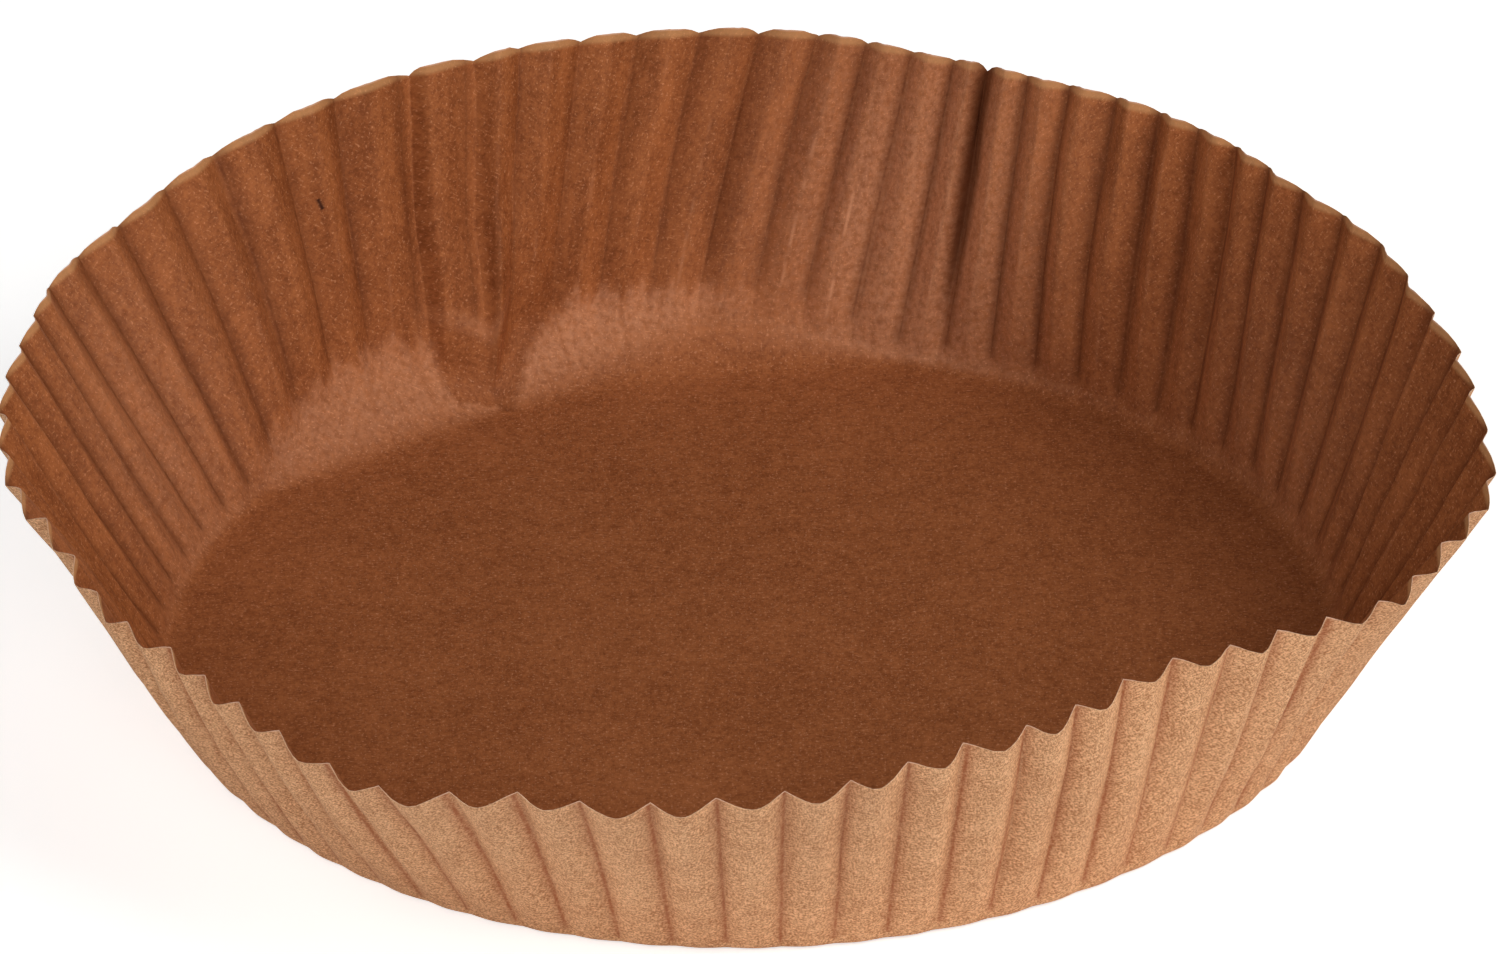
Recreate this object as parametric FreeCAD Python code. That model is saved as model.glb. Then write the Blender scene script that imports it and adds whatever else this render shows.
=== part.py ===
import FreeCAD, Part
import math
import os

# Pleated paper liner for the round basket of an air fryer, in millimetres.
#
# One disc of thin baking paper, pressed into a shallow cup. The floor stays flat, the heel bends up, and the
# wall is gathered into radial pleats. The paper doesn't stretch, so every form below follows from the flat
# disc: a ring of paper keeps its length, and where it is drawn in to a smaller radius the pleats take up what
# is left over. They start at nothing on the heel and are deepest high on the wall.
#
# The underside of the floor lies in Z = 0 and its centre is the origin. Directions are in degrees round from
# the front, which is -Y, towards +X. Names that end in angle or angles are in degrees too.

# The flat disc
paper = 0.06             # thickness of the paper
base_radius = 80.0       # where the wall would meet the floor without the heel's bend
wall_length = 45.0       # paper from that line to the rim
pleats = 72

# The pressed wall, by values at even steps round from the front: how far it leans out from upright, how far
# its pleats draw round by the rim, and how far it bows in half way up
wall_lean_angles = (32, 28, 24, 24, 28, 30, 23, 16, 13, 12, 12, 15,
                    18, 20, 19, 20, 25, 28, 27, 26, 29, 33, 37, 36)
rim_gather_angles = (0, 2.3, 3.7, 2.8, -1, 0.3, 7, 5.5, -2, -2, -5, -1.6)
wall_bow = (0, 0, 0, 0, 0, 0.6, -0.8, 1.1, 0.5, 0, 0, 0)
pleat_start_angle = 2.2               # direction of the first inward fold
pleat_depth = (0.95, 0.66, 0.5)       # share of the slack they take up: at the heel, front rim and back rim

# The heel is a crisp arc, but at the back left it is slack: a flat band between a soft crease and a crisp one
heel_bend = 3.0                       # radius of the bend from floor to wall
soft_bend = 10.0                      # added to that radius in the middle of the slack stretch
soft_angle = 212.0                    # direction of that middle
soft_reach_angles = (-46.0, 26.0)     # from there to the stretch's two ends
soft_fullness = 3                     # power that keeps it slack until near its ends
soft_turn = 0.58                      # share of the bend that the lower crease takes
soft_creases = (0.35, 0.2)            # share of the bend's paper in the lower crease, and in the upper one
pleats_rise = 10.0                    # paper above a slack heel on which the pleats reach their full depth

# The tuck: a crease that notches the slack heel, pulls it in, and fades as it climbs the wall
tuck_angle = 208.3                    # direction of its foot
tuck_drift_angle = -2.5               # how far the crease would turn over the whole wall
tuck_depth = 4.5                      # how far it pulls the heel in
tuck_reach_angles = (-5.0, 9.0)       # from the crease to where the heel is round again
tuck_height = 0.45                    # share of the wall that it climbs
tuck_sharpness = 0.7                  # power with which the slack heel narrows to the crease
tuck_rise = 0.45                      # share of the pulled paper that goes up the wall, not into the fold

# One pleat from an inward fold to the next: share of the pitch, and place between inner and outer fold
pleat_form = ((0.0, -1.0), (0.13, -0.6), (0.37, 0.6), (0.5, 1.0), (0.63, 0.6), (0.87, -0.6))

# Rings of corners up the paper: shares of the bend and of the straight wall
rings = ((0.0, 0.0), (0.2, 0.0), (0.9, 0.0), (1.0, 0.18), (1.0, 0.55), (1.0, 1.0))
bend_steps = 60                       # steps in which the bend is summed


def round_the_cup(values, direction):
    """Smooth value at a direction in degrees, through values spaced evenly round the circle."""
    place = direction / 360 * len(values)
    step = math.floor(place)
    share = place - step
    before, low, high, after = (values[(step + k) % len(values)] for k in (-1, 0, 1, 2))
    cubic = 3 * (low - high) + after - before
    square = 2 * before - 5 * low + 4 * high - after
    return low + 0.5 * share * (high - before + share * (square + share * cubic))


def smooth(share):
    """Eases from 0 to 1."""
    share = min(1.0, max(0.0, share))
    return share * share * (3 - 2 * share)


def beside(direction, middle, reach):
    """Share of the way from a middle to the ends of its reach, 1 beyond them."""
    turn = (direction - middle + 180) % 360 - 180
    return min(1.0, turn / reach[0] if turn < 0 else turn / reach[1])


def softness(direction):
    """How slack the heel is: 1 in the middle of the slack stretch, 0 at the tuck and outside the stretch."""
    stretch = 1 - beside(direction, soft_angle, soft_reach_angles) ** soft_fullness
    return stretch * beside(direction, tuck_angle, tuck_reach_angles) ** tuck_sharpness


def tuck_pull(direction, climb):
    """How far the tuck pulls the paper in, at a share of the wall's length above the heel."""
    across = 1 - beside(direction, tuck_angle + tuck_drift_angle * climb, tuck_reach_angles)
    return tuck_depth * across * max(0.0, 1 - (climb / tuck_height) ** 2)


def depth_share(direction, wall_share):
    """Share of the slack paper that a pleat takes up."""
    heel, front, back = pleat_depth
    rim = front + (back - front) * (1 - math.cos(math.radians(direction))) / 2
    return heel + (rim - heel) * wall_share ** 2


def heel_profile(slope, soft):
    """The bend from floor to wall: length of its paper, and distance out, height and turn at each step."""
    length = (heel_bend + soft_bend * soft) * slope
    low, high = soft_creases
    out, up, points = 0.0, 0.0, [(0.0, 0.0, 0.0)]
    for n in range(bend_steps):
        share = (n + 0.5) / bend_steps
        creased = soft_turn * smooth(share / low) + (1 - soft_turn) * smooth(1 - (1 - share) / high)
        turned = slope * (share + soft * (creased - share))
        out += math.cos(turned) * length / bend_steps
        up += math.sin(turned) * length / bend_steps
        points.append((out, up, turned))
    return length, points


def paper_column(direction, side):
    """Corners of the outer face, up the paper. side goes from -1 on an inner fold to 1 on an outer one."""
    slope = math.radians(90 - round_the_cup(wall_lean_angles, direction))
    soft = softness(direction)
    length, bend = heel_profile(slope, soft)
    flat = base_radius - bend[-1][0] + bend[-1][1] / math.tan(slope)
    pulled = tuck_rise * tuck_pull(direction, 0.0)
    wall = base_radius + wall_length - flat + pulled - length
    column = []
    for bend_share, wall_share in rings:
        out, up, turned = bend[round(bend_share * bend_steps)]
        straight = wall * wall_share
        radius = flat + out + straight * math.cos(slope)
        height = up + straight * math.sin(slope)
        disc_radius = flat - pulled + length * bend_share + straight
        slack = max(0.0, (disc_radius / radius) ** 2 - 1)
        fold = depth_share(direction, wall_share) * side * math.pi * radius / (2 * pleats) * math.sqrt(slack)
        fold *= smooth((disc_radius - base_radius) / pleats_rise + 1 - soft)
        fold -= round_the_cup(wall_bow, direction) * math.sin(math.pi * wall_share)
        climb = straight / wall_length
        radius += fold * math.sin(turned) - tuck_pull(direction, climb)
        height = max(0.0, height - fold * math.cos(turned)) if bend_share else 0.0
        angle = math.radians(direction - round_the_cup(rim_gather_angles, direction) * climb)
        column.append(FreeCAD.Vector(radius * math.sin(angle), -radius * math.cos(angle), height))
    return column


def outer_rings():
    """Corners of the paper's outer face, one list a ring from the floor's edge to the rim."""
    columns = []
    for pleat in range(pleats):
        for share, side in pleat_form:
            columns.append(paper_column(pleat_start_angle + 360 * (pleat + share) / pleats, side))
    return [list(ring) for ring in zip(*columns)]


def inner_rings(outside):
    """The same corners moved through the paper to its inner face."""
    moved = [[corner + FreeCAD.Vector(0, 0, paper) for corner in outside[0]]]
    for k in range(1, len(outside)):
        above = outside[min(k + 1, len(outside) - 1)]
        below = outside[k - 1]
        ring = []
        for i, corner in enumerate(outside[k]):
            along = outside[k][(i + 1) % len(outside[k])] - outside[k][i - 1]
            inward = along.cross(above[i] - below[i]) * -1
            ring.append(corner + inward.normalize() * paper)
        moved.append(ring)
    return moved


def band(corners, triangles, low, high, turned=False):
    """Add the triangles between two rings of corners, facing out, or in where turned, when low is below high.

    Both faces of the paper are cut along the same diagonals, so they stay parallel.
    """
    count = len(low)
    start = len(corners)
    corners.extend(low + high)
    for i in range(count):
        a, b = start + i, start + (i + 1) % count
        pair = [(a, b, b + count), (a, b + count, a + count)]
        triangles.extend([triangle[::-1] for triangle in pair] if turned else pair)


def fan(corners, triangles, ring, upward):
    """Add the flat floor inside a ring as a fan about the cup's axis."""
    start = len(corners)
    corners.extend(ring + [FreeCAD.Vector(0, 0, ring[0].z)])
    for i in range(len(ring)):
        a, b = start + i, start + (i + 1) % len(ring)
        triangles.append((a, b, start + len(ring)) if upward else (b, a, start + len(ring)))


def liner():
    """The folded sheet as one closed solid."""
    outside = outer_rings()
    inside = inner_rings(outside)
    corners, triangles = [], []
    for low, high in zip(outside, outside[1:]):
        band(corners, triangles, low, high)
    band(corners, triangles, outside[-1], inside[-1])
    for low, high in zip(inside, inside[1:]):
        band(corners, triangles, low, high, turned=True)
    fan(corners, triangles, outside[0], False)
    fan(corners, triangles, inside[0], True)
    skin = Part.Shape()
    skin.makeShapeFromMesh((corners, triangles), paper / 100)
    return Part.Solid(Part.Shell(skin.Faces)).removeSplitter()


os.makedirs("parts", exist_ok=True)
sheet = liner()
sheet.exportStep("parts/liner.step")
box = sheet.BoundBox
print("valid", sheet.isValid(), "faces", len(sheet.Faces), "volume", sheet.Volume, "area", sheet.Area)
print("box", box.XMin, box.XMax, box.YMin, box.YMax, box.ZMax)
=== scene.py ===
import math

import bpy
import numpy as np
from mathutils import Matrix, Vector, noise


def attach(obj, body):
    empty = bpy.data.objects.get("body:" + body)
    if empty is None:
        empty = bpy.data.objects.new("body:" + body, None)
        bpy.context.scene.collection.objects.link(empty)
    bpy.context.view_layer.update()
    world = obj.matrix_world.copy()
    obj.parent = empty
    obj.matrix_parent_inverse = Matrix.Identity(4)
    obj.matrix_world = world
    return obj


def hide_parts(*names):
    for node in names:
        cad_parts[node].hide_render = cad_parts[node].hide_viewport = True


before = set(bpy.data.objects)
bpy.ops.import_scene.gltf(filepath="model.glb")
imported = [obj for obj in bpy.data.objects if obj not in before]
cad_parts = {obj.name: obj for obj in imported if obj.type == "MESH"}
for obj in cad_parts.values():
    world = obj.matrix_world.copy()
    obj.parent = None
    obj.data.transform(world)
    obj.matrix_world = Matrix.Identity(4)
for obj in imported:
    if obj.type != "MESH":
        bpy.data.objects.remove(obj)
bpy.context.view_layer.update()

# The looks of a pleated paper liner: the pressed sheet in full detail, its finish, the light and the camera.
# Metres, Z up, and the front is -Y. Directions are in degrees round from the front, towards +X.

# ---- The flat disc and the pressed cup: the sizes of the part's own solid ----

PAPER = 0.00006            # thickness of the paper
BASE_RADIUS = 0.080        # where the wall would meet the floor without the heel's bend
WALL_LENGTH = 0.045        # paper from that line to the rim
RIM = BASE_RADIUS + WALL_LENGTH  # radius of the flat disc
PLEATS = 72
PLEAT_START = 2.2          # direction of the first inner fold
PLEAT_DEPTH = (0.95, 0.66, 0.5)  # share of the slack they take up: at the heel, front rim and back rim

# Values at even steps round from the front: how far the wall leans out from upright, how far its pleats draw
# round by the rim, and how far it bows in half way up
WALL_LEAN = (32, 28, 24, 24, 28, 30, 23, 16, 13, 12, 12, 15,
             18, 20, 19, 20, 25, 28, 27, 26, 29, 33, 37, 36)
GATHER = (0, 2.3, 3.7, 2.8, -1, 0.3, 7, 5.5, -2, -2, -5, -1.6)
BOW = (0, 0, 0, 0, 0, 0.0006, -0.0008, 0.0011, 0.0005, 0, 0, 0)

HEEL_BEND = 0.003          # radius of the bend from floor to wall
SOFT_BEND = 0.010          # added to that radius in the middle of the slack stretch
SOFT_ANGLE = 212.0         # direction of that middle
SOFT_REACH = (-46.0, 26.0)  # from there to the stretch's two ends
SOFT_FULLNESS = 3          # power that keeps it slack until near its ends
SOFT_TURN = 0.58           # share of the bend that the lower crease takes
SOFT_CREASES = (0.35, 0.2)  # share of the bend's paper in the lower crease, and in the upper one
PLEATS_RISE = 0.010        # paper above a slack heel on which the pleats reach their full depth

TUCK_ANGLE = 208.3         # direction of its foot
TUCK_DRIFT = -2.5          # how far the crease would turn over the whole wall
TUCK_DEPTH = 0.0045        # how far it pulls the heel in
TUCK_REACH = (-5.0, 9.0)   # from the crease to where the heel is round again
TUCK_HEIGHT = 0.45         # share of the wall that it climbs
TUCK_SHARPNESS = 0.7       # power with which the slack heel narrows to the crease
TUCK_RISE = 0.45           # share of the pulled paper that goes up the wall, not into the fold

# ---- How uneven the pressing is ----

SEED = 7
FOLD_SPREAD = 0.07         # how far a fold strays from its even place, as a share of the pitch
FOLD_WANDER = 0.05         # how far it wanders on its way up the wall
WANDER_WAVES = 3           # waves in which it does so
DEPTH_SPREAD = 0.16        # how much deeper or shallower a fold is than the next
DEEPEST = 160.5            # direction of the deepest outer fold, which gets the darkest painted shade too

# Outer folds that are deeper than the rest: direction and added depth
DEEP_FOLDS = ((DEEPEST, 0.75), (130.2, 0.25), (184.9, 0.25), (209.0, 0.3), (213.6, 0.3))

ROUND_SHARE = (0.12, 0.35)  # how much of a pleat's form is rounded at both folds, at the front and the back
LEAN_WAVES = ((5, 0.9), (8, 0.8), (13, 0.7), (21, 0.5))   # waves round the wall, and degrees of lean
BULGE = 0.0005             # how far those waves bow the wall between heel and rim
CRUMPLES = ((0.011, 0.00016), (0.0045, 0.00005))          # size of the dents and their depth
STREAKS = ((0.0016, 0.00007), (0.0034, 0.00011))          # widths and depths of faint folds up the wall
STREAK_LENGTH = 9          # of a faint fold, in widths
DENTS_RISE = 0.01          # paper above the base line on which dents and faint folds reach their full depth
RIM_FRAY = 0.00012         # how uneven the cut edge is
FRAY_PER_METRE = 900
RIM_NOTCH = 0.0008         # how far the cut edge dips at an outer fold
NOTCH_REACH = 0.15         # share of the wall, below the rim, that gives way to the dips
FLOOR_LIFT = 0.0003        # how far the floor rises off the table in places
LIFTS_PER_METRE = 32
LIFT_EDGE = 0.2            # share of the floor, from its edge, on which it comes down to the table

# ---- Where light and shade are painted on the paper, by direction and by shares of the bend and of the wall ----

# Two facets beside the tuck's foot with painted shade, and a painted highlight on the ridge over them
FACET_REACH = (10.0, 5.0)  # from the tuck's foot to their ends, to the right and left
FACET_CURVE = 1.5          # power with which the right one widens up the bend
FACET_START = (0.28, 0.25)  # where up the bend the left one starts, and over how much it opens
FACET_RISE = 0.16          # where up the wall they end
FACET_FADE = 0.04          # and over how much
FACET_SHADE = 0.05         # how dark their painted shade is
FACET_CREASE = (0.8, 1.2, 0.3)  # painted shade line of the crease in the right one: place as a share of its reach, width and darkness
RIDGE = (1.5, 3.5, 0.025, 0.7)  # middle to the left of the tuck's foot, width, height and paleness of the painted highlight on the ridge
RIDGE_CLEARS = (4, 0.03)   # width under which fold lines are hidden, and height on which they come back

# The painted sheen on the slack heel's band
PALE_RIGHT = (0.6, 0.9)    # share of the bend over which it grows pale, and how pale, right of the tuck
PALE_LEFT = (0.5, 0.7)
PALE_LOW = (3, 28, 0.9)    # from the tuck to where its lower edge climbs, over how far, and how high
PALE_TOP = (0.0125, 0.0625)                        # where up the wall it starts to end, and over how much
PALE_RAGGED = ((0.02, 1.9, 0), (0.02, 4.7, 1))     # waves of its upper edge: size, rate and start

# Wide stretches of painted sheen: direction, share of the wall, their reach in both, and paleness
PALE_SPREADS = ((165, 0.4, 15, 0.8, 1.15), (115, 0.2, 20, 0.5, 0.3), (250, 0.3, 14, 0.7, 0.55))
SPREAD_START = (0.3, 0.5)  # where up the bend they start, and over how much

TUCK_LINE = (0.45, 0.9, 0.4)   # of the tuck's crease, a painted shade line: width, share of the wall that it climbs, and darkness
WEDGE = (0.4, 0.8, 0.4)    # of the deepest fold's painted shade: width, more at the rim, and where it is full
CALM = (197, 24, 0.5)      # where the painted shade lines along the folds are faint: middle, reach and by how much
LINES_RISE = (0.02, 0.2)   # share of the wall on which they grow clear, and more over a slack heel
GLINT = (171, 13, 0.15)     # where the ridges get painted highlights: middle, reach and what is left elsewhere
GLINT_FOOT = 0.04           # share of the wall on which they grow clear
GLINT_TOP = (0.45, 0.4)     # where up the wall they start to end, and over how much

# ---- How finely the sheet is meshed ----

HALF_PLEAT_STEPS = 6       # from an inner fold to the next outer one
BEND_STEPS = 10
HEEL_SUMS = 60             # steps in which the heel's bend is summed
WALL_STEPS = 34
FLOOR_STEPS = 20
FLOOR_COARSENESS = 4       # columns of the wall that one column of the floor joins

# Where the flat disc lies in the bake's square, which is 1 wide
BAKE_MIDDLE = 0.293        # middle of the outer face, along both sides
BAKE_RADIUS = 0.29


def around(values, direction):
    """Smooth values at directions in degrees, through values spaced evenly round the circle."""
    values = np.asarray(values, float)
    place = (direction % 360) / 360 * len(values)
    step = np.floor(place).astype(int)
    share = place - step
    before, low, high, after = (values[(step + k) % len(values)] for k in (-1, 0, 1, 2))
    cubic = 3 * (low - high) + after - before
    square = 2 * before - 5 * low + 4 * high - after
    return low + 0.5 * share * (high - before + share * (square + share * cubic))


def direction_of(place):
    """Direction of a place that is counted in pleats from the first inner fold."""
    return PLEAT_START + place * 360 / PLEATS


def apart(direction, other):
    """Degrees between directions, 0 to 180."""
    return np.abs((direction - other + 180) % 360 - 180)


def beside(direction, middle, reach):
    """Share of the way from a middle to the ends of its reach, 1 beyond them."""
    turn = (direction - middle + 180) % 360 - 180
    return np.minimum(1.0, np.where(turn < 0, turn / reach[0], turn / reach[1]))


def smooth(share):
    """Eases from 0 to 1."""
    share = np.clip(share, 0.0, 1.0)
    return share * share * (3 - 2 * share)


def bell(off, reach):
    """1 where off is 0, and falls away over about its reach."""
    return np.exp(-(off / reach) ** 2)


def backward(direction):
    """0 at the front, 1 at the back."""
    return (1 - np.cos(np.radians(direction))) / 2


def stretch(direction):
    """How slack the heel is, apart from the tuck: 0 where it is crisp, 1 in the slack stretch's middle."""
    return 1 - beside(direction, SOFT_ANGLE, SOFT_REACH) ** SOFT_FULLNESS


def softness(direction):
    """How slack the heel is: 0 where it is crisp, and 0 again at the tuck."""
    return stretch(direction) * beside(direction, TUCK_ANGLE, TUCK_REACH) ** TUCK_SHARPNESS


# ---- Painted sheen, shade and highlights, from 0 to 1, at directions and at a share of the bend and of the wall ----


def from_tuck(direction):
    """Degrees to the left of the tuck's foot."""
    return (direction - TUCK_ANGLE + 180) % 360 - 180


def facet_reach(direction, bend_share):
    """How far round from the tuck's foot the facets beside it reach."""
    starts, opens = FACET_START
    right = FACET_REACH[0] * bend_share ** FACET_CURVE
    left = FACET_REACH[1] * smooth((bend_share - starts) / opens)
    return np.where(from_tuck(direction) < 0, right, left)


def on_facets(direction, bend_share):
    """1 on the facets and 0 beside them, with an edge one degree wide."""
    return smooth(facet_reach(direction, bend_share) - np.abs(from_tuck(direction)) + 0.5)


def pale_band(direction, bend_share, wall_share):
    """The painted sheen on the band of the slack heel, beside the facets."""
    turn = from_tuck(direction)
    starts, climbs, high = PALE_LOW
    low = high * (np.maximum(-turn - starts, 0) / climbs) ** 2
    grows, pale = (np.where(turn < 0, right, left) for right, left in zip(PALE_RIGHT, PALE_LEFT))
    ragged = sum(size * np.sin(direction * rate + start) for size, rate, start in PALE_RAGGED)
    ends, over = PALE_TOP
    top = 1 - smooth((wall_share + ragged - ends) / over)
    clear = np.sqrt(stretch(direction)) * (1 - on_facets(direction, bend_share))
    return clear * pale * smooth((bend_share - low) / grows) * top


def paleness(direction, bend_share, wall_share):
    """Where the paper is painted paler: painted sheen on the slack band and wide stretches, and a painted
    highlight on the ridge over the facets.
    """
    middle, width, height, pale = RIDGE
    ridge = pale * bell(wall_share - FACET_RISE, height) * bell(from_tuck(direction) - middle, width)
    spread = sum(size * bell(apart(direction, middle), wide) * bell(wall_share - climb, high)
                 for middle, climb, wide, high, size in PALE_SPREADS)
    starts, over = SPREAD_START
    spread *= smooth((bend_share - starts) / over)
    band = pale_band(direction, bend_share, wall_share)
    return np.clip(band + ridge * (bend_share >= 1) + spread, 0, 1)


def crease_shade(direction, bend_share, wall_share):
    """Painted shade in the creases: the tuck's line up the wall, the facets of its foot, and the deepest
    fold.
    """
    width, climbs, dark = TUCK_LINE
    off = apart(direction, TUCK_ANGLE + TUCK_DRIFT * wall_share)
    line = dark * bell(off, width) * (1 - smooth(wall_share / climbs))
    place, width, dark = FACET_CREASE
    turn = from_tuck(direction)
    crease = dark * bell(turn + place * facet_reach(direction, bend_share), width) * (turn < 0)
    facet = FACET_SHADE * on_facets(direction, bend_share)
    below = 1 - smooth((wall_share - FACET_RISE) / FACET_FADE + 1)
    width, wider, full = WEDGE
    wedge = bell(apart(direction, DEEPEST), width + wider * wall_share) * smooth(wall_share / full)
    return np.clip((line + (crease + facet) * below) * (bend_share > 0) + wedge, 0, 1)


def fold_line_shade(direction, bend_share, wall_share):
    """How clear the painted shade lines along the folds are: none on a slack heel and its facets, and faint
    above it.
    """
    middle, reach, fainter = CALM
    calm = fainter * bell(apart(direction, middle), reach)
    rise, more = LINES_RISE
    climbed = smooth(wall_share / (rise + more * softness(direction)))
    width, height = RIDGE_CLEARS
    ridge = FACET_RISE * bell(from_tuck(direction) - RIDGE[0], width)
    return (1 - calm) * climbed * smooth((wall_share - ridge) / height) * (bend_share >= 1)


def ridge_glint(direction, bend_share, wall_share):
    """How strong the painted highlights on the folds' ridges are: most at the back right, low on the wall."""
    middle, reach, elsewhere = GLINT
    ends, over = GLINT_TOP
    most = bell(apart(direction, middle), reach) * (1 - smooth((wall_share - ends) / over))
    return (elsewhere + (1 - elsewhere) * most) * smooth(wall_share / GLINT_FOOT) * (bend_share >= 1)


# ---- The sheet's form ----


def tuck_pull(direction, climb):
    """How far the tuck pulls the paper in at shares of the wall's length above the heel."""
    across = 1 - beside(direction, TUCK_ANGLE + TUCK_DRIFT * climb, TUCK_REACH)
    return TUCK_DEPTH * across * np.maximum(0.0, 1 - (climb / TUCK_HEIGHT) ** 2)


def heel(direction, slope, share):
    """Bend of the heel, at a share of the way up it.

    Returns the floor's radius, the bend's length, how far the point is out and up, and how far it is turned.
    A crisp heel is an arc. A slack one is a flat band between a soft crease and a crisp one."""
    soft = softness(direction)
    length = (HEEL_BEND + SOFT_BEND * soft) * slope
    steps = (np.arange(HEEL_SUMS) + 0.5) / HEEL_SUMS
    low, high = SOFT_CREASES
    stairs = SOFT_TURN * smooth(steps / low) + (1 - SOFT_TURN) * smooth((steps - (1 - high)) / high)
    turned = slope[:, None] * (steps + soft[:, None] * (stairs - steps))
    out = np.cumsum(np.cos(turned), axis=1) * (length / HEEL_SUMS)[:, None]
    up = np.cumsum(np.sin(turned), axis=1) * (length / HEEL_SUMS)[:, None]
    flat = BASE_RADIUS - out[:, -1] + up[:, -1] / np.tan(slope)
    reached = round(share * HEEL_SUMS)
    if reached == 0:
        return flat, length, 0 * out[:, 0], 0 * up[:, 0], 0 * slope
    last = slope if reached == HEEL_SUMS else (turned[:, reached - 1] + turned[:, reached]) / 2
    return flat, length, out[:, reached - 1], up[:, reached - 1], last


class Folds:
    """The 2 x PLEATS folds, inner and outer in turn, each with a place and a depth of its own."""

    def __init__(self):
        rng = np.random.default_rng(SEED)
        count = 2 * PLEATS
        self.place = np.arange(count) / 2 + FOLD_SPREAD * rng.uniform(-1, 1, count)
        self.depth = 1 + DEPTH_SPREAD * rng.uniform(-1, 1, count)
        self.side = np.where(np.arange(count) % 2 == 0, -1.0, 1.0)
        self.wander = rng.uniform(-1, 1, (WANDER_WAVES, count))
        for direction, deeper in DEEP_FOLDS:
            off = apart(direction_of(self.place), direction)
            nearest = np.where(self.side > 0, off, 360).argmin()
            self.depth[nearest] += deeper
            self.place[nearest] = (direction - PLEAT_START) * PLEATS / 360

    def at(self, climb):
        """Places in pleats and sides, from -1 at an inner fold to 1 at an outer one, at one height."""
        sway = sum(w * math.sin((n + 1) * math.pi * climb) / (n + 1) for n, w in enumerate(self.wander))
        return self.place + FOLD_WANDER * sway, self.side * self.depth

    def columns(self, climb):
        """Place and side of every column of the sheet at one height."""
        place, side = self.at(climb)
        after = np.append(place[1:], place[0] + PLEATS)
        side_after = np.roll(side, -1)
        steps = (1 - np.cos(np.pi * np.arange(HALF_PLEAT_STEPS) / HALF_PLEAT_STEPS)) / 2
        columns = place[:, None] + (after - place)[:, None] * steps
        back = backward(direction_of(columns))
        rising = (self.side < 0)[:, None]
        share = np.where(rising, steps, 1 - steps)
        lobe_out = np.sin(np.pi * share / 2)
        lobe_in = 1 - np.cos(np.pi * share / 2)
        both = (1 - np.cos(np.pi * share)) / 2
        rounded = ROUND_SHARE[0] + (ROUND_SHARE[1] - ROUND_SHARE[0]) * back
        form = rounded * both + (1 - rounded) * ((1 - back) * lobe_out + back * lobe_in)
        form = np.where(rising, form, 1 - form)
        sides = side[:, None] + (side_after - side)[:, None] * form
        return columns.ravel(), sides.ravel()


class Lean:
    """How the wall leans and bows, with the small waves that pressing leaves round it."""

    def __init__(self):
        rng = np.random.default_rng(SEED + 1)
        self.waves = [(n, size, rng.uniform(0, 2 * np.pi)) for n, size in LEAN_WAVES]
        self.bows = [(n, size, rng.uniform(0, 2 * np.pi)) for n, size in LEAN_WAVES]

    def at(self, direction):
        """Degrees that the wall leans out from upright."""
        angle = np.radians(direction)
        return around(WALL_LEAN, direction) + sum(s * np.sin(n * angle + p) for n, s, p in self.waves)

    def bow(self, direction):
        """How far the wall bows out half way up."""
        angle = np.radians(direction)
        return BULGE * sum(s * np.sin(n * angle + p) for n, s, p in self.bows) - around(BOW, direction)


def ring_of_paper(folds, lean, bend_share, wall_share):
    """One ring of the sheet's outer face above the floor.

    Returns its points, and each point's place in pleats, radius on the flat disc and marks."""
    places, sides = folds.columns(wall_share)
    direction = direction_of(places)
    slope = np.radians(90 - lean.at(direction))
    flat, length, out, up, turned = heel(direction, slope, bend_share)
    pulled = TUCK_RISE * tuck_pull(direction, 0.0)
    notch = RIM_NOTCH * ((1 + sides) / 2) ** 2 * smooth((wall_share - 1) / NOTCH_REACH + 1)
    straight = (RIM - flat + pulled - length) * wall_share - notch
    radius = flat + out + straight * np.cos(slope)
    height = up + straight * np.sin(slope)
    disc = flat - pulled + length * bend_share + straight
    slack = np.maximum(0.0, (disc / radius) ** 2 - 1)
    started = smooth((disc - BASE_RADIUS) / PLEATS_RISE + 1 - softness(direction))
    at_heel, at_front, at_back = PLEAT_DEPTH
    at_rim = at_front + (at_back - at_front) * backward(direction)
    depth = at_heel + (at_rim - at_heel) * wall_share ** 2
    fold = depth * sides * started * np.pi * radius / (2 * PLEATS) * np.sqrt(slack)
    fold += lean.bow(direction) * math.sin(math.pi * wall_share)
    radius += fold * np.sin(turned) - tuck_pull(direction, straight / WALL_LENGTH)
    height = np.maximum(height - fold * np.cos(turned) * (bend_share > 0), 0.0)
    angle = np.radians(direction - around(GATHER, direction) * straight / WALL_LENGTH)
    points = np.stack([radius * np.sin(angle), -radius * np.cos(angle), height], axis=-1)
    marks = [mark(direction, bend_share, wall_share) for mark in (paleness, crease_shade, fold_line_shade, ridge_glint)]
    return points, places, disc, np.stack(marks, axis=-1)


def floor_ring(edge, share):
    """A ring of the floor, at a share of the way from the centre to the floor's edge."""
    points = edge * share
    waves = points[:, :2] * LIFTS_PER_METRE
    lift = [FLOOR_LIFT * (0.5 + noise.noise(Vector((x, y, 1.5)))) ** 2 for x, y in waves]
    points[:, 2] = np.array(lift) * min(1.0, (1 - share) / LIFT_EDGE)
    return points


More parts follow.
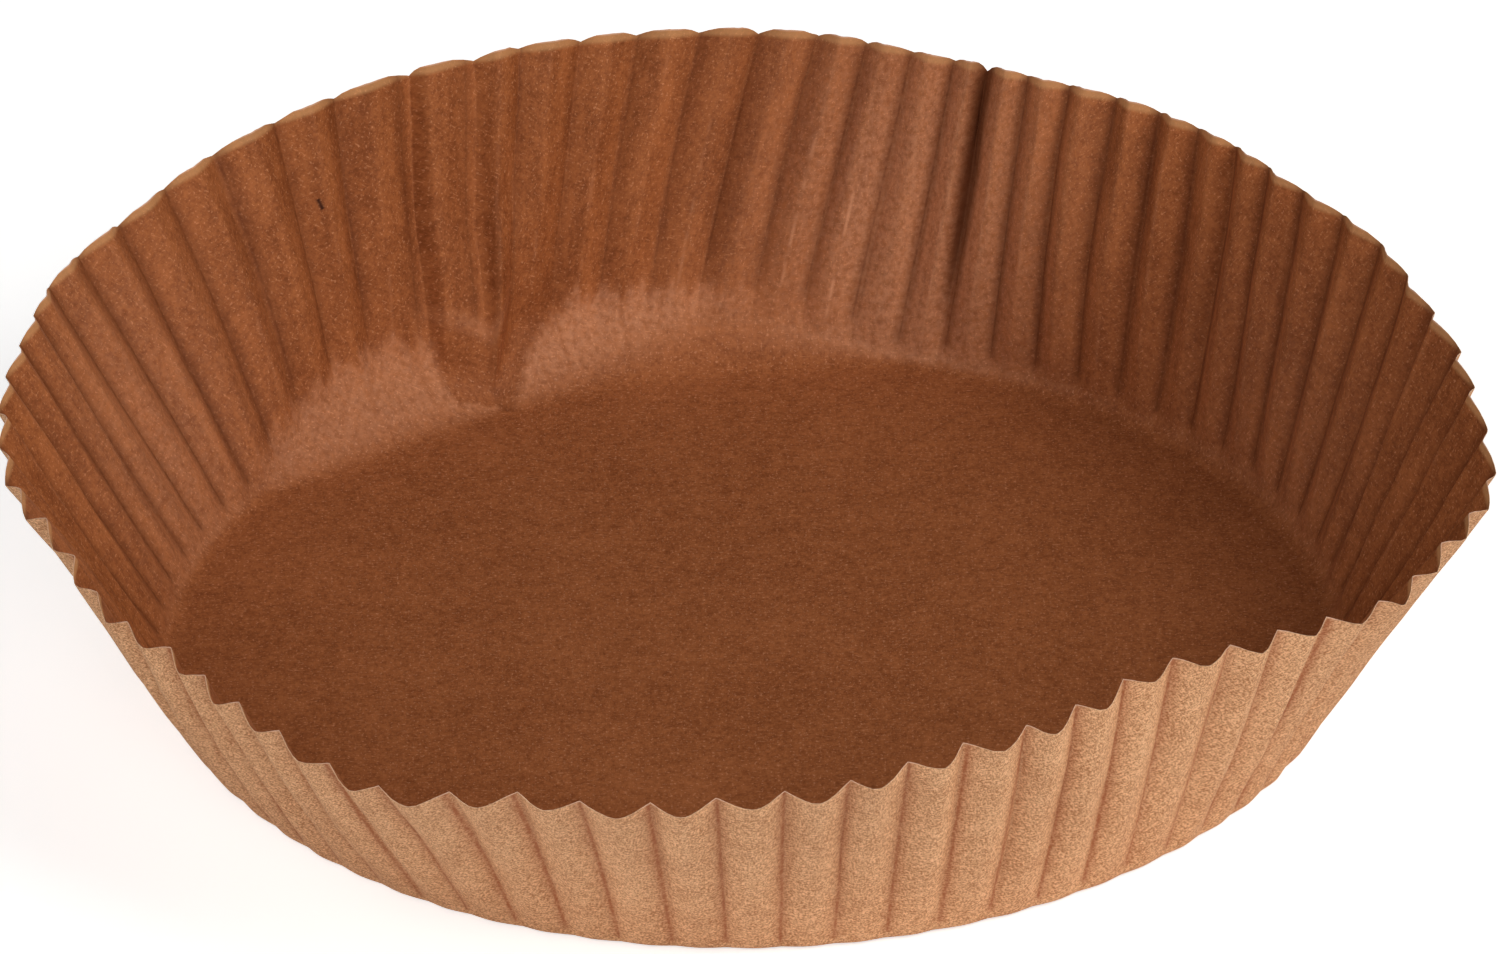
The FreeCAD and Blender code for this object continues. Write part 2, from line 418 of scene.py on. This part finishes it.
class Sheet:
    """Collects the corners and triangles of one face of the paper."""

    def __init__(self):
        self.points, self.places, self.discs, self.marks, self.triangles = [], [], [], [], []

    def add_ring(self, points, places, disc, marks=(0.0, 0.0, 0.0, 0.0)):
        """Add a ring of corners, and return their numbers."""
        start = len(self.points)
        self.points.extend(points)
        self.places.extend(places)
        self.discs.extend(np.broadcast_to(disc, len(points)))
        self.marks.extend(np.broadcast_to(marks, (len(points), 4)))
        return np.arange(start, start + len(points))

    def join(self, low, high):
        """Triangles between two rings. The upper one may have several columns to the lower one's one."""
        many = len(high) // len(low)
        for i in range(len(low)):
            here, there = low[i], low[(i + 1) % len(low)]
            upper = [high[(i * many + k) % len(high)] for k in range(many + 1)]
            middle = (many + 1) // 2
            for k in range(many):
                self.triangles.append((here if k < middle else there, upper[k + 1], upper[k]))
            self.triangles.append((here, there, upper[middle]))


def sheet_of_paper():
    """The outer face of the whole sheet, from the floor's centre to the rim, and the rim's corners."""
    folds, lean = Folds(), Lean()
    sheet = Sheet()
    edge, places, disc = ring_of_paper(folds, lean, 0.0, 0.0)[:3]
    few = slice(None, None, FLOOR_COARSENESS)
    below = None
    for share in (np.arange(FLOOR_STEPS) + 0.5) / FLOOR_STEPS:
        points = floor_ring(edge[few], share)
        ring = sheet.add_ring(points, places[few], disc[few] * share)
        if below is None:
            middle = sheet.add_ring(points.mean(axis=0, keepdims=True), [0.0], 0.0)[0]
            sheet.triangles += [(middle, ring[(i + 1) % len(ring)], ring[i]) for i in range(len(ring))]
        else:
            sheet.join(below, ring)
        below = ring
    bends = [(share, 0.0) for share in np.linspace(0, 1, BEND_STEPS + 1)]
    walls = [(1.0, share) for share in np.linspace(0, 1, WALL_STEPS + 1)[1:]]
    for bend_share, wall_share in bends + walls:
        ring = sheet.add_ring(*ring_of_paper(folds, lean, bend_share, wall_share))
        sheet.join(below, ring)
        below = ring
    return sheet, below


def vertex_normals(points, triangles):
    """Normals of the corners, away from the inside of the cup."""
    a, b, c = (points[triangles[:, k]] for k in range(3))
    normals = np.zeros_like(points)
    area = np.cross(b - a, c - a)
    for k in range(3):
        np.add.at(normals, triangles[:, k], area)
    return normals / np.linalg.norm(normals, axis=1, keepdims=True)


def crumple(points, normals, disc_xy, places):
    """Dents and faint folds of the wall, which fade towards the floor. Each size has noise of its own."""
    depth = np.zeros(len(points))
    for size, deep in CRUMPLES:
        at = [noise.noise(Vector((x / size, y / size, size * 1000))) for x, y in disc_xy]
        depth += deep * np.array(at)
    radius = np.linalg.norm(disc_xy, axis=1)
    for size, deep in STREAKS:
        turns = 2 * np.pi * places / PLEATS
        reach = BASE_RADIUS / size
        at = [noise.noise(Vector((math.sin(t) * reach, math.cos(t) * reach, r / (size * STREAK_LENGTH))))
              for t, r in zip(turns, radius)]
        depth += deep * np.array(at)
    depth *= np.clip((radius - BASE_RADIUS) / DENTS_RISE, 0, 1)
    return points + normals * depth[:, None]


def build_liner():
    """The whole paper: its outer face, its inner face one thickness away, and the cut edge between them."""
    sheet, rim = sheet_of_paper()
    points = np.array(sheet.points)
    outward = np.array(sheet.triangles)
    places, discs = np.array(sheet.places), np.array(sheet.discs)
    angle = np.radians(direction_of(places))
    disc_xy = np.stack([discs * np.sin(angle), -discs * np.cos(angle)], axis=-1)
    points = crumple(points, vertex_normals(points, outward), disc_xy, places)
    points[rim, 2] += [RIM_FRAY * noise.noise(Vector((x, y, 0))) for x, y in disc_xy[rim] * FRAY_PER_METRE]
    points[:, 2] = np.maximum(points[:, 2], 0.0)
    inner = points - vertex_normals(points, outward) * PAPER
    count = len(points)
    strip = [t for a, b in zip(rim, np.roll(rim, -1)) for t in ((a, b, b + count), (a, b + count, a + count))]
    inward = outward[:, ::-1] + count
    faces = np.concatenate([outward, inward, np.array(strip)])
    mesh = bpy.data.meshes.new("liner_paper")
    mesh.from_pydata(np.concatenate([points, inner]).tolist(), [], faces.tolist())
    slots = np.repeat([0, 1, 2], [len(outward), len(inward), len(strip)])
    mesh.polygons.foreach_set("material_index", slots)
    mesh.polygons.foreach_set("use_smooth", np.ones(len(faces), bool))
    add_maps(mesh, np.tile(places, 2), np.tile(discs, 2), np.tile(disc_xy, (2, 1)), len(outward))
    for name, values in zip(("pale", "crease", "folds", "glint"), np.transpose(sheet.marks)):
        layer = mesh.attributes.new(name, "FLOAT", "POINT")
        layer.data.foreach_set("value", np.tile(values, 2).astype(np.float32))
    mark_rim_sharp(mesh, rim, count)
    mesh.validate()
    piece = bpy.data.objects.new("liner_paper", mesh)
    bpy.context.scene.collection.objects.link(piece)
    return piece


def add_maps(mesh, places, discs, disc_xy, outer_faces):
    """Maps of where each corner lies: on the flat disc, across its pleat and up it, and in the bake.

    A triangle that crosses from the last pleat to the first counts on past the last. The bake holds the disc
    twice, once for each face of the paper, in two corners of its square."""
    corner = np.empty(len(mesh.loops), np.int32)
    mesh.loops.foreach_get("vertex_index", corner)
    across = places[corner].reshape(-1, 3)
    furthest = across.max(axis=1, keepdims=True)
    across = np.where(furthest - across > PLEATS / 2, across + PLEATS, across)
    pleats = np.stack([across.ravel(), discs[corner]], axis=-1)
    sheet = disc_xy[corner]
    inner_face = (np.arange(len(corner)) >= outer_faces * 3)[:, None]
    bake = BAKE_MIDDLE + sheet / RIM * BAKE_RADIUS + inner_face * (1 - 2 * BAKE_MIDDLE)
    for name, values in (("sheet", sheet), ("pleats", pleats), ("OFBake", bake)):
        layer = mesh.uv_layers.new(name=name)
        layer.data.foreach_set("uv", values.astype(np.float32).ravel())


def mark_rim_sharp(mesh, rim, count):
    """The cut edge is crisp against both faces."""
    on_rim = set(rim.tolist()) | set((rim + count).tolist())
    sharp = mesh.attributes.new("sharp_edge", "BOOLEAN", "EDGE")
    ends = np.empty(len(mesh.edges) * 2, np.int32)
    mesh.edges.foreach_get("vertices", ends)
    both_on_rim = np.isin(ends, list(on_rim)).reshape(-1, 2).all(axis=1)
    sharp.data.foreach_set("value", both_on_rim)


# ---- The paper's finish ----

CUT_TONE = (0.78, 0.50, 0.36, 1)   # along the cut edge
RIM_TONE = (0.72, 0.38, 0.16, 1)   # of the strip below it that flares out
WALL_TINT = (1.0, 0.96, 0.86, 1)   # of the wall inside, against the floor
# Near black: painted shade seen in the slit
SLIT_SHADE_TONE = (0.03, 0.006, 0.002, 1)

# A painted shade line along a crease in the floor, and painted shade in a small slit in the wall: their ends
# on the flat disc
FLOOR_CREASE = ((0.0202, 0.0510), (0.0379, 0.0695))
WALL_CUT = ((-0.0764, 0.0820), (-0.0749, 0.0810))
FLOOR_CREASE_SHARE = 0.22
WALL_CUT_SHARE = 0.9
SHADE_LINE_REACH = 0.0005     # half width of both
SHADE_LINE_FADE = 0.8         # share of their half length from which they fade

# Noise is in turns a metre of the flat disc, and each EDGE has the two values between which a mark grows
NOISE_START = (3.37, 7.71, 0)      # moves its even spot off the sheet
FIBRES = ((700, 3600), (3600, 1100))   # two sets of fibres, along and across
FIBRE_TURNS = (0.5, 0.2)
PALE_FIBRE_EDGE = (0.64, 0.76)
PALE_FIBRE_SHARE = 0.3
CLOUDS = 420
CLOUD_EDGE = (0.4, 0.6)
SPECKS = 2300
SPECK_EDGE = (0.62, 0.74)
PATCHES = 900                      # of the patches of painted sheen
PATCH_EDGE = (0.25, 0.75)
PATCH_SHARE = (0.18, 0.48)         # least and most of the pale tone in the painted sheen
LINE_BREAKS = 600
LINE_BREAK_EDGE = (0.35, 0.65)
LINE_LEAST = 0.35                  # what is left of a painted shade line along a fold at its breaks

# Noise along the pleats, in turns a pleat and turns a metre up the wall
WALL_STREAKS = (2.3, 35)
GLINT_PLEATS = (1, 40)              # which pleats have a painted highlight on the ridge, and where
GLINT_PLEAT_SCALE = 0.7
GLINT_PLEAT_EDGE = (0.4, 0.52)
GLINT_GAPS = (0.6, 190)
GLINT_GAP_EDGE = (0.4, 0.68)

GROOVE_REACH = 0.22                # half width of the painted shade in a groove, in pleats
GLINT_REACH = 0.055                 # half width of a painted highlight on a ridge, in pleats
GLINT_PLACE = 0.9                   # of a painted highlight line outside, in pleats from the inner fold
TINT_RISE = (-0.002, 0.006)        # from the base line to where the wall's tint starts and is full
STREAK_RISE = 0.008                # from there to where the streaks up the wall are full
RIM_STRIP = (0.0016, 0.0008, 0.5)  # from the rim to where its tone starts and is full, and its share
CUT_STRIP = (0.0003, 0.00005, 0.7)  # the same for the cut edge's tone
CREASE_SHARE = 0.8
TONE_REACH = 0.9                   # of the grain's sum, from 0 to the dark or light tone
FIBRE_HEIGHT = 0.00007             # of the paper's relief
ALONG_RELIEF = 0.5                 # share of the one set of fibres in it, against the other
CLOUD_RELIEF = 0.6                 # and of the clouds
ROUGH_EDGE = (0.2, 0.8)
ROUGHNESS = (0.6, 0.72)
SHEEN = 0.14

# Each finish has a pale colour, of pale fibres and specks and of painted sheen and highlights, the colours of
# its light and dark tone, and a fold colour for the painted shade along its folds and creases, the grain as
# turns a metre with their weights, and the shares of streaks up the wall, of fibres, of specks, of the
# painted shade in the folds' grooves, of the painted shade lines along them (whose half width is in pleats),
# of painted highlights on the ridges and of the relief
OUTSIDE = {
    "pale": (1.0, 0.80, 0.48), "light": (0.98, 0.593, 0.33),
    "dark": (0.46, 0.19, 0.077), "fold": (0.37, 0.10, 0.035),
    "grain": ((3000, 2.2), (1500, 1.1), (600, 0.5), (220, 0.5), (70, 0.4)),
    "streaks": 0.0, "fibres": 1.3, "specks": 1.0,
    "groove": 0.35, "line": 0.75, "line_reach": 0.055, "glint": 0.5, "relief": 0.8}
# The inner face's tones are far darker and redder than the outer face's: painted shade and bounce light
# inside the cup, on paper that is the same brown on both faces
INSIDE_SHADED = {
    "pale": (0.86, 0.405, 0.22), "light": (0.44, 0.146, 0.050),
    "dark": (0.213, 0.058, 0.0165), "fold": (0.12, 0.028, 0.007),
    "grain": ((3000, 0.9), (1300, 1.2), (520, 0.9), (200, 0.5), (60, 0.45), (22, 0.5)),
    "streaks": 1.4, "fibres": 0.5, "specks": 0.35,
    "groove": 0.5, "line": 0.5, "line_reach": 0.04, "glint": 0.5, "relief": 0.3}
CUT_EDGE = {
    "pale": (1.0, 0.80, 0.56), "light": (0.80, 0.56, 0.38),
    "dark": (0.62, 0.38, 0.22), "fold": (0.5, 0.3, 0.17),
    "grain": ((3200, 1.0), (700, 0.5)),
    "streaks": 0.0, "fibres": 0.5, "specks": 0.2,
    "groove": 0.0, "line": 0.3, "line_reach": 0.03, "glint": 0.0, "relief": 0.3}


class Shader:
    """Short ways to add and link nodes in one material."""

    def __init__(self, name):
        self.material = bpy.data.materials.new(name)
        self.material.use_nodes = True
        self.tree = self.material.node_tree
        self.tree.nodes.clear()

    def node(self, kind, inputs=None, **settings):
        """A node with its inputs set or linked."""
        made = self.tree.nodes.new(kind)
        for key, value in settings.items():
            setattr(made, key, value)
        for key, value in (inputs or {}).items():
            if isinstance(value, bpy.types.NodeSocket):
                self.tree.links.new(value, made.inputs[key])
            else:
                made.inputs[key].default_value = value
        return made

    def attribute(self, name):
        """A value that the mesh gives at its corners."""
        return self.node("ShaderNodeAttribute", attribute_name=name).outputs["Fac"]

    def math(self, operation, a, b=0.0, c=0.0):
        return self.node("ShaderNodeMath", {0: a, 1: b, 2: c}, operation=operation).outputs[0]

    def product(self, a, b):
        return self.math("MULTIPLY", a, b)

    def centred(self, noise):
        """Noise about 0, from -0.5 to 0.5."""
        return self.math("SUBTRACT", noise, 0.5)

    def map(self, value, low, high, to_low=0.0, to_high=1.0):
        """Eases from one value to the other between low and high."""
        inputs = {"Value": value, "From Min": low, "From Max": high, "To Min": to_low, "To Max": to_high}
        return self.node("ShaderNodeMapRange", inputs, interpolation_type="SMOOTHSTEP").outputs[0]

    def within(self, value, reach):
        """1 where a value is 0, and down to 0 at its reach."""
        return self.map(value, 0.0, reach, 1.0, 0.0)

    def noise(self, vector, scale=1.0, detail=2.0, roughness=0.6, stretch=(1, 1), turn=0.0):
        """Flat noise about 0.5, stretched and turned."""
        moved = self.node("ShaderNodeMapping", {
            "Vector": vector, "Location": NOISE_START,
            "Rotation": (0, 0, turn), "Scale": (*stretch, 1)}).outputs[0]
        inputs = {"Vector": moved, "Scale": scale, "Detail": detail, "Roughness": roughness}
        return self.node("ShaderNodeTexNoise", inputs, noise_dimensions="2D").outputs["Fac"]

    def mix(self, share, a, b, blend="MIX"):
        """Colour a with a share of colour b."""
        made = self.node("ShaderNodeMix", data_type="RGBA", blend_type=blend)
        for socket, value in ((made.inputs[0], share), (made.inputs[6], a), (made.inputs[7], b)):
            if isinstance(value, bpy.types.NodeSocket):
                self.tree.links.new(value, socket)
            else:
                socket.default_value = value
        return made.outputs[2]


class Paper(Shader):
    """Brown baking paper: fibres and grain on the flat sheet, and painted shade lines and painted highlights
    along the folds.
    """

    def __init__(self, name, finish, inside):
        super().__init__(name)
        self.finish, self.inside = finish, inside
        self.pale, self.light, self.dark, self.fold = (
            (*finish[key], 1) for key in ("pale", "light", "dark", "fold"))
        self.sheet = self.node("ShaderNodeUVMap", uv_map="sheet").outputs[0]
        self.pleats = self.node("ShaderNodeUVMap", uv_map="pleats").outputs[0]
        self.place, self.radius = self.node("ShaderNodeSeparateXYZ", {0: self.pleats}).outputs[:2]
        self.along, self.athwart = (self.noise(self.sheet, stretch=stretch, turn=turn)
                                    for stretch, turn in zip(FIBRES, FIBRE_TURNS))
        self.clouds = self.noise(self.sheet, CLOUDS, detail=3)
        steps = [self.specks, self.fibres]
        if inside:
            steps += [self.wall_tint, self.painted_sheen, self.rim_strip, self.shade_creases, self.crease_and_slit_shade]
        steps += [self.fold_lines, self.glint_ridges, self.cut_edge]
        colour = self.grain()
        for step in steps:
            colour = step(colour)
        self.surface(colour)

    def grain(self):
        """The paper's own tone, between its dark and its light one."""
        fibres = self.finish["fibres"]
        tone = self.product(self.centred(self.along), fibres)
        tone = self.math("MULTIPLY_ADD", self.centred(self.athwart), fibres, tone)
        for scale, weight in self.finish["grain"]:
            tone = self.math("MULTIPLY_ADD", self.centred(self.noise(self.sheet, scale)), weight, tone)
        on_wall = self.map(self.radius, BASE_RADIUS, BASE_RADIUS + STREAK_RISE, 0.0, self.finish["streaks"])
        streaks = self.centred(self.noise(self.pleats, stretch=WALL_STREAKS))
        tone = self.math("MULTIPLY_ADD", streaks, on_wall, tone)
        return self.mix(self.map(tone, -TONE_REACH, TONE_REACH), self.dark, self.light)

    def specks(self, colour):
        """Scattered specks, darker outside and paler inside."""
        specks = self.map(self.noise(self.sheet, SPECKS, roughness=0.5), *SPECK_EDGE)
        tone = self.pale if self.inside else self.dark
        return self.mix(self.product(specks, self.finish["specks"]), colour, tone)

    def fibres(self, colour):
        """Pale fibres, in clouds."""
        fibres = self.product(self.map(self.along, *PALE_FIBRE_EDGE), self.map(self.clouds, *CLOUD_EDGE))
        return self.mix(self.product(fibres, PALE_FIBRE_SHARE), colour, self.pale)

    def wall_tint(self, colour):
        """A warmer tint on the wall than on the floor."""
        starts, full = TINT_RISE
        on_wall = self.map(self.radius, BASE_RADIUS + starts, BASE_RADIUS + full)
        return self.mix(on_wall, colour, WALL_TINT, "MULTIPLY")

    def painted_sheen(self, colour):
        """Painted sheen on the pale band and the other wide stretches, and the painted highlight on the ridge
        over the facets, in patches.
        """
        patches = self.noise(self.sheet, PATCHES, detail=3, roughness=0.65)
        share = self.product(self.attribute("pale"), self.map(patches, *PATCH_EDGE, *PATCH_SHARE))
        return self.mix(share, colour, self.pale)

    def rim_strip(self, colour):
        return self.strip(colour, RIM_STRIP, RIM_TONE)

    def cut_edge(self, colour):
        return self.strip(colour, CUT_STRIP, CUT_TONE)

    def strip(self, colour, below_rim, tone):
        """A tone that grows towards the rim."""
        starts, full, share = below_rim
        return self.mix(self.map(self.radius, RIM - starts, RIM - full, 0.0, share), colour, tone)

    def shade_creases(self, colour):
        # Painted shade: the creases darken towards the fold colour
        return self.mix(self.product(self.attribute("crease"), CREASE_SHARE), colour, self.fold)

    def crease_and_slit_shade(self, colour):
        """Painted shade: a faint line along the crease in the floor, and the dark of the small slit in the
        wall.
        """
        for ends, tone, share in ((FLOOR_CREASE, self.fold, FLOOR_CREASE_SHARE),
                                  (WALL_CUT, SLIT_SHADE_TONE, WALL_CUT_SHARE)):
            (x0, y0), (x1, y1) = ends
            half = math.dist(*ends) / 2
            line = self.node("ShaderNodeMapping", {
                "Vector": self.sheet, "Location": ((x0 + x1) / 2, (y0 + y1) / 2, 0),
                "Rotation": (0, 0, math.atan2(y1 - y0, x1 - x0))}, vector_type="TEXTURE").outputs[0]
            along, off = (self.math("ABSOLUTE", axis)
                          for axis in self.node("ShaderNodeSeparateXYZ", {0: line}).outputs[:2])
            on_length = self.map(along, half * SHADE_LINE_FADE, half, 1.0, 0.0)
            on_line = self.product(self.within(off, SHADE_LINE_REACH), on_length)
            colour = self.mix(self.product(on_line, share), colour, tone)
        return colour

    def fold_lines(self, colour):
        """Painted shade in the groove of each fold, which is an outer fold seen from inside, and a painted
        shade line along it.
        """
        from_inner = self.math("PINGPONG", self.place, 0.5)
        off = self.math("SUBTRACT", 0.5, from_inner) if self.inside else from_inner
        clear = self.attribute("folds")
        groove = self.product(self.within(off, GROOVE_REACH), clear)
        colour = self.mix(self.product(groove, self.finish["groove"]), colour, self.fold)
        broken = self.map(self.noise(self.sheet, LINE_BREAKS), *LINE_BREAK_EDGE, LINE_LEAST)
        line = self.product(self.within(off, self.finish["line_reach"]), self.product(broken, clear))
        return self.mix(self.product(line, self.finish["line"]), colour, self.fold)

    def glint_ridges(self, colour):
        """Broken painted highlights: on the ridges inside, and beside the grooves outside. Some pleats have
        none.
        """
        if self.inside:
            off = self.math("PINGPONG", self.place, 0.5)
        else:
            share = self.math("FRACT", self.place)
            off = self.math("ABSOLUTE", self.math("SUBTRACT", share, GLINT_PLACE))
        chosen = self.noise(self.pleats, GLINT_PLEAT_SCALE, detail=1, roughness=0.5, stretch=GLINT_PLEATS)
        chosen = self.map(chosen, *GLINT_PLEAT_EDGE)
        gaps = self.map(self.noise(self.pleats, stretch=GLINT_GAPS), *GLINT_GAP_EDGE)
        glint = self.product(self.within(off, GLINT_REACH), self.product(gaps, self.attribute("glint")))
        return self.mix(self.product(glint, self.product(chosen, self.finish["glint"])), colour, self.pale)

    def surface(self, colour):
        """Matt paper with a faint sheen and the fibres' relief."""
        fibres = self.math("MULTIPLY_ADD", self.along, ALONG_RELIEF, self.athwart)
        height = self.math("MULTIPLY_ADD", self.clouds, CLOUD_RELIEF, fibres)
        bump = self.node("ShaderNodeBump", {
            "Height": height, "Strength": self.finish["relief"], "Distance": FIBRE_HEIGHT}).outputs[0]
        shader = self.node("ShaderNodeBsdfPrincipled", {
            "Base Color": colour, "Roughness": self.map(self.clouds, *ROUGH_EDGE, *ROUGHNESS),
            "Normal": bump, "Specular IOR Level": SHEEN}).outputs[0]
        self.node("ShaderNodeOutputMaterial", {"Surface": shader})


def finish_paper(piece):
    """The three finishes, in the order of the mesh's slots: outer face, inner face with painted shade, and
    cut edge.
    """
    for name, finish, inside in (("paper_outside", OUTSIDE, False), ("paper_inside_shaded", INSIDE_SHADED, True),
                                 ("paper_cut_edge", CUT_EDGE, False)):
        piece.data.materials.append(Paper(name, finish, inside).material)


# ---- The stage ----

FLOOR_SIZE = 6.0
FLOOR_DROP = 0.00005       # how far the floor lies below the liner
FLOOR_TONE = (0.86, 0.86, 0.86, 1)
FLOOR_GLOW = 0.64          # what the camera sees on top of the floor's own light
WHITE = (1, 1, 1, 1)
ROOM_COLOUR = (1, 0.98, 0.95, 1)
ROOM_LIGHT = 0.02

# Soft square lamps: direction, degrees up, size, watts and colour
LAMPS = {
    "key": (60, 40, 0.8, 11.5, (1.0, 0.97, 0.93)),
    "fill": (-24, 42, 0.8, 6, (1, 1, 1)),
    "low_front": (20, 7, 0.5, 3.4, (1, 1, 1)),
    "low_side": (-70, 7, 0.5, 4.2, (1, 1, 1)),
    "low_back": (165, 8, 0.5, 4.5, (1, 1, 1))}
LAMP_DISTANCE = 1.4

CAMERA_DISTANCE = 1.5
CAMERA_ELEVATION = 30.6
CAMERA_ROLL = -0.81
CAMERA_AIM_UP = 0.0148     # radians that the view's middle lies above the floor's centre
CAMERA_LENS = 262.8
CAMERA_SENSOR = 36.0
CAMERA_SEES = 20           # metres


def make_floor():
    """A pale floor, white to the camera, which keeps the liner's shadow."""
    mesh = bpy.data.meshes.new("floor")
    reach = FLOOR_SIZE / 2
    corners = [(x * reach, y * reach, -FLOOR_DROP) for x, y in ((-1, -1), (1, -1), (1, 1), (-1, 1))]
    mesh.from_pydata(corners, [], [(0, 1, 2, 3)])
    floor = bpy.data.objects.new("floor", mesh)
    bpy.context.scene.collection.objects.link(floor)
    s = Shader("floor")
    diffuse = s.node("ShaderNodeBsdfDiffuse", {"Color": FLOOR_TONE}).outputs[0]
    glow = s.node("ShaderNodeEmission", {"Color": WHITE, "Strength": FLOOR_GLOW}).outputs[0]
    both = s.node("ShaderNodeAddShader", {0: diffuse, 1: glow}).outputs[0]
    seen = s.node("ShaderNodeLightPath").outputs["Is Camera Ray"]
    mixed = s.node("ShaderNodeMixShader", {0: seen, 1: diffuse, 2: both}).outputs[0]
    s.node("ShaderNodeOutputMaterial", {"Surface": mixed})
    mesh.materials.append(s.material)


def make_world():
    """A faint warm light from all round, and white behind everything."""
    world = bpy.data.worlds.new("studio")
    bpy.context.scene.world = world
    world.use_nodes = True
    nodes, links = world.node_tree.nodes, world.node_tree.links
    nodes.clear()
    mix = nodes.new("ShaderNodeMixShader")
    links.new(nodes.new("ShaderNodeLightPath").outputs["Is Camera Ray"], mix.inputs[0])
    for socket, colour, strength in ((mix.inputs[1], ROOM_COLOUR, ROOM_LIGHT), (mix.inputs[2], WHITE, 1.0)):
        background = nodes.new("ShaderNodeBackground")
        background.inputs["Color"].default_value = colour
        background.inputs["Strength"].default_value = strength
        links.new(background.outputs[0], socket)
    links.new(mix.outputs[0], nodes.new("ShaderNodeOutputWorld").inputs[0])


def make_lamp(name, direction, elevation, size, watts, colour):
    """A soft square lamp aimed at the floor's centre."""
    lamp = bpy.data.lights.new(name, "AREA")
    lamp.shape = "SQUARE"
    lamp.size = size
    lamp.energy = watts
    lamp.color = colour
    made = bpy.data.objects.new(name, lamp)
    a, e = math.radians(direction), math.radians(elevation)
    toward = Vector((math.sin(a) * math.cos(e), -math.cos(a) * math.cos(e), math.sin(e)))
    made.location = toward * LAMP_DISTANCE
    made.rotation_euler = toward.to_track_quat("Z", "Y").to_euler()
    bpy.context.scene.collection.objects.link(made)


def make_camera():
    """The photograph's own view, from the front and above."""
    data = bpy.data.cameras.new("camera")
    data.lens = CAMERA_LENS
    data.sensor_width = CAMERA_SENSOR
    data.clip_end = CAMERA_SEES
    camera = bpy.data.objects.new("camera", data)
    e = math.radians(CAMERA_ELEVATION)
    place = Vector((0, -math.cos(e), math.sin(e))) * CAMERA_DISTANCE
    up = Vector((0, math.sin(e), math.cos(e)))
    ahead = (up * CAMERA_AIM_UP - place.normalized()).normalized()
    turn = (-ahead).to_track_quat("Z", "Y").to_matrix()
    turn = turn @ Matrix.Rotation(math.radians(CAMERA_ROLL), 3, "Z")
    camera.matrix_world = Matrix.Translation(place) @ turn.to_4x4()
    bpy.context.scene.collection.objects.link(camera)
    bpy.context.scene.camera = camera


make_camera()
piece = build_liner()
finish_paper(piece)
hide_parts("liner")
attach(piece, "root")

make_floor()
make_world()
for lamp_name, settings in LAMPS.items():
    make_lamp(lamp_name, *settings)

scene = bpy.context.scene
scene.view_settings.view_transform = "Standard"
